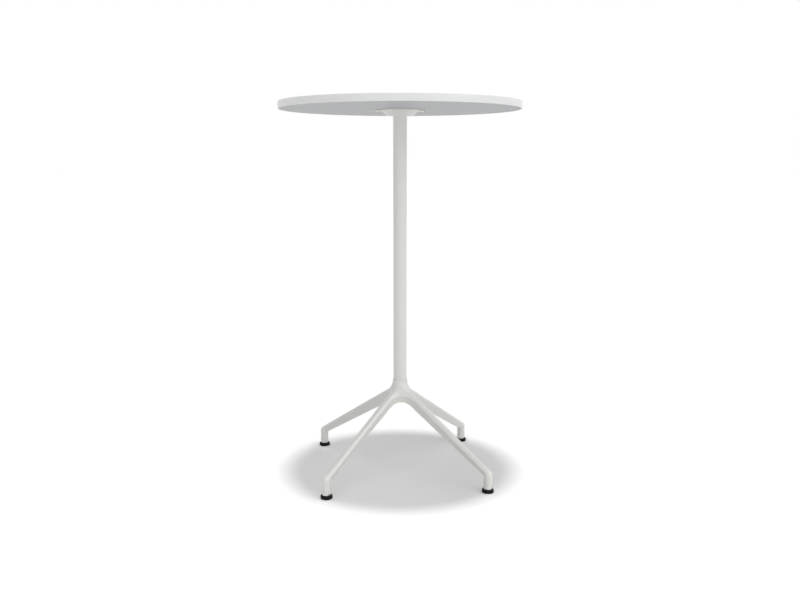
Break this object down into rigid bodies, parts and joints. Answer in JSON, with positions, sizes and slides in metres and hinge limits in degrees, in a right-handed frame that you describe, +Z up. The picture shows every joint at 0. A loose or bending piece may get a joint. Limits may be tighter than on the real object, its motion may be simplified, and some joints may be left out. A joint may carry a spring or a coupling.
{
  "type": "standing meeting table",
  "caption": "Tall round-topped meeting table on a slim tube column, with a cast star base whose sloping arms end in short posts on screw-adjusted levelling feet.",
  "frame": {"origin": "on the floor, under the middle of the round top and of the column", "axes": "+Z up; the four arms lie on the diagonals between +X and +Y, so the table looks the same from the front, the back and both sides"},
  "size_m": [0.6999, 0.7, 1.1],
  "materials": {
    "board_core": "matte",
    "white_laminate": "matte",
    "grey_backer": "matte",
    "white_edge": "satin",
    "coated_casting": "satin",
    "coated_tube": "satin",
    "zinc_steel": "satin",
    "plated_steel": "satin",
    "bush_brass": "satin",
    "black_plastic": "satin"
  },
  "bodies": {
    "table": {"top_core": "board_core", "top_laminate": "white_laminate", "top_backer": "grey_backer", "edge_band": "white_edge", "top_bracket": "coated_casting", "bracket_screws": "zinc_steel", "column_tube": "coated_tube", "tie_rod": "zinc_steel", "tie_rod_nut": "zinc_steel", "tie_rod_washer": "zinc_steel", "star_base": "coated_casting", "foot_inserts": "bush_brass"},
    "pad_1": {"levelling_pad_1": "black_plastic"},
    "stud_1": {"levelling_stud_1": "plated_steel"},
    "pad_2": {"levelling_pad_2": "black_plastic"},
    "stud_2": {"levelling_stud_2": "plated_steel"},
    "pad_3": {"levelling_pad_3": "black_plastic"},
    "stud_3": {"levelling_stud_3": "plated_steel"},
    "pad_4": {"levelling_pad_4": "black_plastic"},
    "stud_4": {"levelling_stud_4": "plated_steel"}
  },
  "joints": [
    {"name": "foot_1_height", "type": "slide", "parent": "table", "child": "pad_1", "axis": [0, 0, -1], "range_m": [0, 0.01]},
    {"name": "foot_1_screw", "type": "hinge", "parent": "pad_1", "child": "stud_1", "pos_m": [0.22981, 0.22981, 0.01], "axis": [0, 0, -1], "range_deg": [0, 2880]},
    {"name": "foot_2_height", "type": "slide", "parent": "table", "child": "pad_2", "axis": [0, 0, -1], "range_m": [0, 0.01]},
    {"name": "foot_2_screw", "type": "hinge", "parent": "pad_2", "child": "stud_2", "pos_m": [-0.22981, 0.22981, 0.01], "axis": [0, 0, -1], "range_deg": [0, 2880]},
    {"name": "foot_3_height", "type": "slide", "parent": "table", "child": "pad_3", "axis": [0, 0, -1], "range_m": [0, 0.01]},
    {"name": "foot_3_screw", "type": "hinge", "parent": "pad_3", "child": "stud_3", "pos_m": [-0.22981, -0.22981, 0.01], "axis": [0, 0, -1], "range_deg": [0, 2880]},
    {"name": "foot_4_height", "type": "slide", "parent": "table", "child": "pad_4", "axis": [0, 0, -1], "range_m": [0, 0.01]},
    {"name": "foot_4_screw", "type": "hinge", "parent": "pad_4", "child": "stud_4", "pos_m": [0.22981, -0.22981, 0.01], "axis": [0, 0, -1], "range_deg": [0, 2880]}
  ],
  "couplings": [
    {"joint": "foot_1_screw", "follows": "foot_1_height", "rad_per_m": 5026.5},
    {"joint": "foot_2_screw", "follows": "foot_2_height", "rad_per_m": 5026.5},
    {"joint": "foot_3_screw", "follows": "foot_3_height", "rad_per_m": 5026.5},
    {"joint": "foot_4_screw", "follows": "foot_4_height", "rad_per_m": 5026.5}
  ]
}
